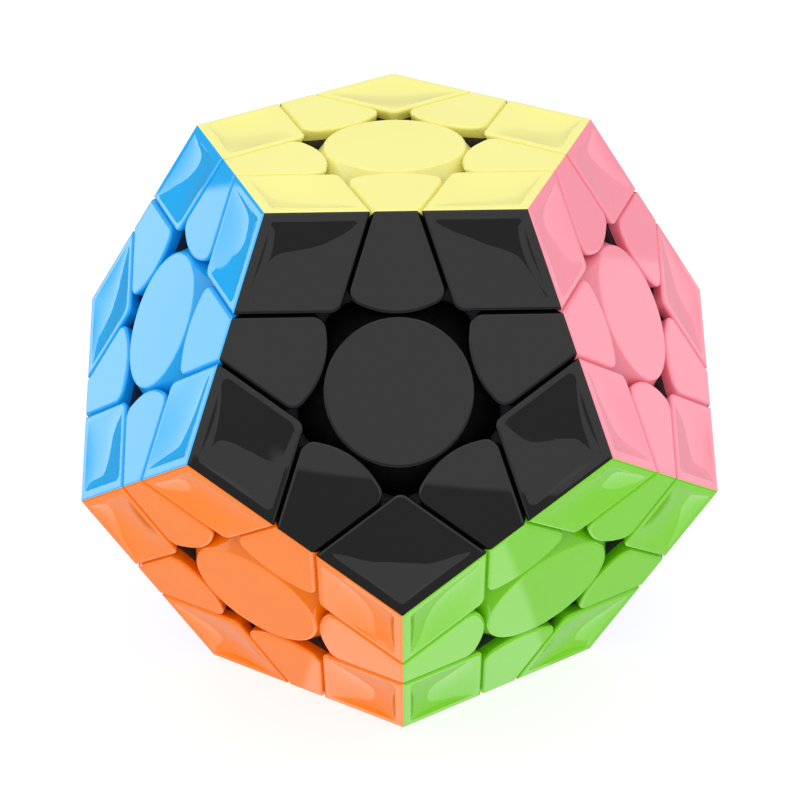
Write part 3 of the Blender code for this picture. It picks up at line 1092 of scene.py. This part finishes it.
class NodeSums:
    """Sums in a node tree. A number may stand in for any value."""

    def __init__(self, tree):
        self.tree = tree

    def compute(self, operation, *values):
        """One Math node."""
        node = self.tree.nodes.new("ShaderNodeMath")
        node.operation = operation
        for value, socket in zip(values, node.inputs):
            if isinstance(value, (int, float)):
                socket.default_value = value
            else:
                self.tree.links.new(value, socket)
        return node.outputs["Value"]

    def ramp(self, source, low, high, start=0.0, end=1.0):
        """A smooth change from start to end while the source goes from low to high."""
        node = self.tree.nodes.new("ShaderNodeMapRange")
        node.interpolation_type = "SMOOTHSTEP"
        node.inputs["From Min"].default_value = low
        node.inputs["From Max"].default_value = high
        node.inputs["To Min"].default_value = start
        node.inputs["To Max"].default_value = end
        self.tree.links.new(source, node.inputs["Value"])
        return node.outputs["Result"]

    def both(self, first, second):
        """The product of two values."""
        return self.compute("MULTIPLY", first, second)

    def blend(self, share, start, end):
        """Start where the share is 0, and end where it is 1."""
        rest = self.compute("SUBTRACT", 1.0, share)
        return self.compute("ADD", self.both(rest, start), self.both(share, end))


def front_half(sums, x, z):
    """In front: bright above a leaning line and at the sides, dim below, and a bright floor."""
    aside = sums.compute("ABSOLUTE", x)
    leaning = sums.compute("MULTIPLY_ADD", x, HORIZON_LEAN, z)
    above = sums.ramp(
        leaning, HORIZON_HEIGHT - HORIZON_SOFTNESS, HORIZON_HEIGHT + HORIZON_SOFTNESS)
    beside = sums.both(sums.ramp(aside, *DIM_WALL_ENDS), sums.ramp(z, *DIM_WALL_FOOT))
    wall = sums.blend(sums.compute("MAXIMUM", above, beside), DIM_WALL, FRONT_WALL)
    return sums.blend(sums.ramp(z, *FRONT_FLOOR_TOP), wall, FRONT_FLOOR)


def panel_shape(sums, x, z):
    """Where the bright panels at both sides are. Their tops slant up, away from the middle."""
    aside = sums.compute("ABSOLUTE", x)
    slant = sums.compute(
        "ADD", sums.compute("MULTIPLY_ADD", aside, -PANEL_SLANT, z), sums.both(x, PANEL_TILT))
    below_slant = sums.ramp(slant, PANEL_TOP + PANEL_SOFTNESS, PANEL_TOP - PANEL_SOFTNESS)
    tall = sums.compute("MAXIMUM", below_slant, sums.ramp(aside, *PANEL_SLOPE_END))
    ends = sums.both(sums.ramp(z, *PANEL_HEAD), sums.ramp(z, *PANEL_FOOT))
    return sums.both(sums.both(sums.ramp(aside, *PANEL_SIDE), tall), ends)


def back_half(sums, x, z):
    """Behind: a wall, darker low down, the side panels, and bright and dark bands under them."""
    aside = sums.compute("ABSOLUTE", x)
    sides = sums.ramp(x, *LEFT_TO_RIGHT, *SIDE_WALLS)
    low_wall = sums.blend(sums.ramp(aside, *LOW_BACK_WALL_ENDS), LOW_BACK_WALL, sides)
    back = sums.blend(sums.ramp(z, *BACK_WALL_FOOT), low_wall, BACK_WALL)
    panels = sums.ramp(x, *LEFT_TO_RIGHT, *SIDE_PANELS)
    back = sums.blend(panel_shape(sums, x, z), back, panels)
    for top, brightness in UNDER_BANDS:
        back = sums.blend(sums.ramp(z, *top), back, brightness)
    leaning = sums.compute("MULTIPLY_ADD", x, DEEP_BAND_LEAN, z)
    return sums.blend(sums.ramp(leaning, *DEEP_BAND_TOP), back, DEEP_BAND)


def studio_world():
    """Even white light, and a studio of walls and panels that only reflections show."""
    world = bpy.data.worlds.new("studio")
    bpy.context.scene.world = world
    world.use_nodes = True
    tree = world.node_tree
    sums = NodeSums(tree)
    direction = tree.nodes.new("ShaderNodeTexCoord").outputs["Generated"]
    parts = tree.nodes.new("ShaderNodeSeparateXYZ")
    tree.links.new(direction, parts.inputs["Vector"])
    x, y, z = (parts.outputs[axis] for axis in "XYZ")
    studio = sums.blend(
        sums.ramp(y, *FRONT_TO_BACK), front_half(sums, x, z), back_half(sums, x, z))
    studio = sums.blend(sums.ramp(z, *CEILING_FOOT), studio, CEILING)
    glossy = tree.nodes.new("ShaderNodeLightPath").outputs["Is Glossy Ray"]
    background = tree.nodes["Background"]
    background.inputs["Color"].default_value = (1, 1, 1, 1)
    tree.links.new(sums.blend(glossy, DOME, studio), background.inputs["Strength"])


def camera():
    """A camera that looks at the puzzle's middle from the front and above."""
    data = bpy.data.cameras.new("camera")
    data.lens = CAMERA_LENS
    data.sensor_width = 36
    data.clip_start = 0.01
    item = bpy.data.objects.new("camera", data)
    bpy.context.scene.collection.objects.link(item)
    azimuth = math.radians(CAMERA_AZIMUTH - 90)
    elevation = math.radians(CAMERA_ELEVATION)
    place = CAMERA_DISTANCE * Vector((
        math.cos(elevation) * math.cos(azimuth),
        math.cos(elevation) * math.sin(azimuth),
        math.sin(elevation)))
    look = (AIM_POINT - place).to_track_quat("-Z", "Y").to_matrix().to_4x4()
    roll = Matrix.Rotation(math.radians(CAMERA_ROLL), 4, "Z")
    item.matrix_world = Matrix.Translation(place) @ look @ roll
    bpy.context.scene.camera = item


build_puzzle()
floor()
studio_world()
camera()
bpy.context.scene.view_settings.view_transform = "Standard"
